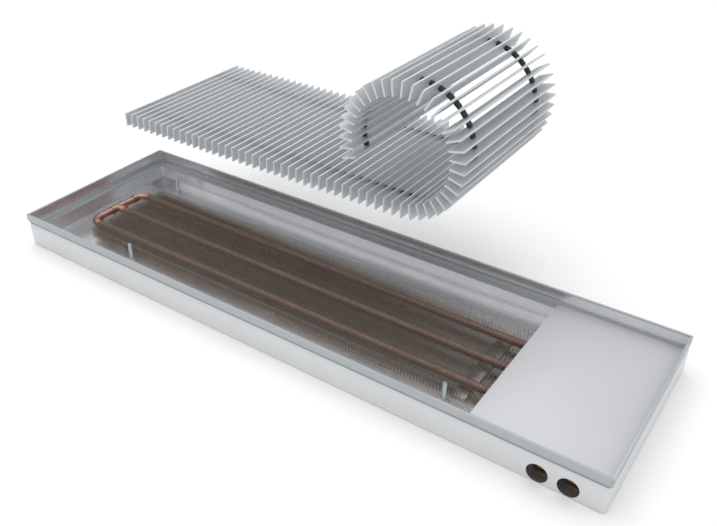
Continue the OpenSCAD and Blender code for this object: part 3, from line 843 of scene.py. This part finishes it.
# %% The tree for fins: front tab and stack
tab_size = add_node(fin_tree, "ShaderNodeCombineXYZ",
                    inputs={"X": given["Tab length"], "Y": given["Thickness"], "Z": given["Height"]})
tab = add_node(fin_tree, "GeometryNodeMeshCube", inputs={"Size": tab_size.outputs[0]})
tab_out = add_node(fin_tree, "ShaderNodeMath", {"operation": "MULTIPLY"},
                   {0: given["Tab length"], 1: 0.5})
tab_reach = add_node(fin_tree, "ShaderNodeMath", {"operation": "SUBTRACT"},
                     {0: given["Width"], 1: given["Thickness"]})
tab_start = add_node(fin_tree, "ShaderNodeMath", {"operation": "MULTIPLY"},
                     {0: tab_reach.outputs[0], 1: -0.5})
tab_place = add_node(fin_tree, "ShaderNodeCombineXYZ",
                     inputs={"X": tab_out.outputs[0], "Y": tab_start.outputs[0]})
tab_moved = add_node(fin_tree, "GeometryNodeTransform",
                     inputs={"Geometry": tab.outputs[0], "Translation": tab_place.outputs[0]})
one_fin = add_node(fin_tree, "GeometryNodeJoinGeometry")
fin_tree.links.new(waved.outputs[0], one_fin.inputs[0])
fin_tree.links.new(tab_moved.outputs[0], one_fin.inputs[0])
fin_step = add_node(fin_tree, "ShaderNodeCombineXYZ", inputs={"X": given["Pitch"]})
stack = add_node(fin_tree, "GeometryNodeMeshLine",
                 inputs={"Count": given["Count"], "Offset": fin_step.outputs[0]})
copies = add_node(fin_tree, "GeometryNodeInstanceOnPoints",
                  inputs={"Points": stack.outputs[0], "Instance": one_fin.outputs[0]})
end_tree(fin_tree, given, out, copies.outputs[0])
print("fin tree of", len(fin_tree.nodes), "nodes")

# %% Grow the fins
fin_low, fin_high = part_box("fin_pack")
tube_low, tube_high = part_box("exchanger_tubes")
tube_r = (tube_high.z - tube_low.z) / 2
tube_z = (tube_low.z + tube_high.z) / 2
tube_pitch = (tube_high.y - tube_low.y) / 2 - tube_r
hole_gap = 0.05 * MM
fin_t = 0.3 * MM
wave_l = 20.6 * MM
wave_h = 0.7 * MM
fin_pitch = 5 * MM
tab_gap = 0.7 * MM
fin_room = fin_high.x - fin_low.x - fin_t - 2 * wave_h
fin_count = round(fin_room / fin_pitch) + 1
fin_middle = (fin_low + fin_high) / 2
fin_values = {"Width": fin_high.y - fin_low.y, "Height": fin_high.z - fin_low.z,
              "Thickness": fin_t, "Tube pitch": tube_pitch, "Hole radius": tube_r + hole_gap,
              "Hole height": tube_z - fin_middle.z, "Wave length": wave_l, "Wave height": wave_h,
              "Count": fin_count, "Pitch": fin_room / (fin_count - 1),
              "Tab length": fin_pitch - tab_gap,
              "Pivot": (fin_low.x + wave_h + fin_t / 2, fin_middle.y, fin_middle.z),
              "Material": fin_sheet}
mesh = grow(fin_tree, fin_values)
make_piece("fins", mesh, [fin_sheet], "trough", ["fin_pack"])
print(fin_count, "fins,", len(mesh.polygons), "faces")

# %% [markdown]
# ## Levelling screws
#
# The trough is set level by four threaded rods that stand on the floor below. A thread is a screw
# surface: rings of points up the rod whose radius follows a tooth that climbs one pitch a turn. Writing
# it as a formula is simpler than winding a tooth round a core, and it closes by itself. A screwdriver
# slot is then sawn across the top.

# %% Cut the threads
thread_pitch = 1 * MM
thread_depth = 0.55 * MM
chamfer_h = 0.6 * MM
ring_points = 20
rings_per_turn = 6


def threaded_rod(middle, low, high, radius):
    """A closed rod with a thread from low to high and a chamfered tip at both ends."""
    rod = bmesh.new()
    count = int((high - low) / thread_pitch * rings_per_turn) + 1
    skins = []
    for k in range(count + 1):
        z = low + (high - low) * k / count
        chamfer = max(0.0, chamfer_h - min(z - low, high - z))
        skin = []
        for i in range(ring_points):
            share = (z / thread_pitch - i / ring_points) % 1.0
            tooth = abs(2 * share - 1)
            here = min(radius - thread_depth * tooth, radius - chamfer)
            angle = math.tau * i / ring_points
            x = middle.x + here * math.cos(angle)
            y = middle.y + here * math.sin(angle)
            skin.append(rod.verts.new((x, y, z)))
        skins.append(skin)
    for below, above in zip(skins, skins[1:]):
        band(rod, below, above)
    rod.faces.new(skins[0][::-1])
    rod.faces.new(skins[-1])
    return as_mesh(rod, "threaded_rod")


print("a thread has", round(1 * MM / thread_pitch), "turn a millimetre")

# %% Saw the slots
slot_w = 1.2 * MM
slot_l = 12 * MM
slot_depth = 1.6 * MM


def slotted(mesh, middle, top):
    """The rod with a screwdriver slot sawn across its top."""
    saw = bmesh.new()
    size = Matrix.Diagonal((slot_w, slot_l, 2 * slot_depth, 1))
    place = Matrix.Translation((middle.x, middle.y, top))
    bmesh.ops.create_cube(saw, size=1.0, matrix=place @ size)
    return cut_away(mesh, as_mesh(saw, "saw"), "Slot")


for i in range(1, 5):
    name = f"levelling_screw_{i}"
    low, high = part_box(name)
    middle = (low + high) / 2
    mesh = threaded_rod(middle, low.z, high.z, (high.x - low.x) / 2)
    mesh = slotted(mesh, middle, high.z)
    make_piece(name + "_threaded", mesh, [zinc_steel], f"levelling_{i}", [name])
print("four threaded screws")

# %% [markdown]
# ## Studio
#
# The heater is shown on a plain white floor under a wide soft light. White surroundings are what makes
# metal look like metal here: the less metallic outside of the trough takes its tone from the bright floor,
# and the bright inside mirrors the dark fins. The surroundings are brighter overhead than at the sides,
# as under a wide light box, so grooves and undersides stay darker. A large area light above adds a soft
# direction.

# %% Floor
floor_white, tree, shader, place = start_material("studio_floor_white", 0.0, 0.85)
colour(tree, shader, clouds(tree, place, 400 * MM), "#fafafa", "#fcfcfc")
floor_mesh = bpy.data.meshes.new("studio_floor")
floor_half = 30.0
floor_corners = [(-floor_half, -floor_half, 0), (floor_half, -floor_half, 0),
                 (floor_half, floor_half, 0), (-floor_half, floor_half, 0)]
floor_mesh.from_pydata(floor_corners, [], [(0, 1, 2, 3)])
floor_mesh.materials.append(floor_white)
studio_floor = bpy.data.objects.new("studio_floor", floor_mesh)
bpy.context.scene.collection.objects.link(studio_floor)
print("floor", 2 * floor_half, "m wide")

# %% Surroundings and lamp
light_at_horizon = 0.4
light_overhead = 1.25
world = bpy.data.worlds.new("studio")
world.use_nodes = True
tree = world.node_tree
background = tree.nodes["Background"]
direction = add_node(tree, "ShaderNodeTexCoord").outputs["Generated"]
upward = add_node(tree, "ShaderNodeSeparateXYZ", inputs={0: direction}).outputs["Z"]
sky = {0: upward, 1: 0.0, 2: 1.0, 3: light_at_horizon, 4: light_overhead}
brightness = add_node(tree, "ShaderNodeMapRange", inputs=sky)
tree.links.new(brightness.outputs[0], background.inputs["Strength"])
background.inputs["Color"].default_value = (1.0, 1.0, 1.0, 1.0)
bpy.context.scene.world = world
bpy.context.scene.view_settings.view_transform = "Standard"

lamp = bpy.data.lights.new("soft_light", "AREA")
lamp.shape = "RECTANGLE"
lamp.size = 2.4
lamp.size_y = 1.6
lamp.energy = 12.0
lamp_object = bpy.data.objects.new("soft_light", lamp)
lamp_object.location = (-0.6, 0.4, 2.2)
aim = Vector((0.0, 0.0, 0.0)) - lamp_object.location
lamp_object.rotation_euler = aim.to_track_quat("-Z", "Y").to_euler()
bpy.context.scene.collection.objects.link(lamp_object)
print("lamp of", lamp.energy, "W, surroundings up to", light_overhead)

# %% Camera
looks_down = 33.4932
looks_left = 34.6017
camera = bpy.data.cameras.new("camera")
camera.sensor_width = 36.0
camera.lens = 40.545
camera_object = bpy.data.objects.new("camera", camera)
camera_object.location = (0.61069, -0.79159, 0.72709)
camera_object.rotation_euler = (math.radians(90 - looks_down), 0.0, math.radians(looks_left))
bpy.context.scene.collection.objects.link(camera_object)
bpy.context.scene.camera = camera_object
print("camera at", tuple(round(value, 3) for value in camera_object.location))
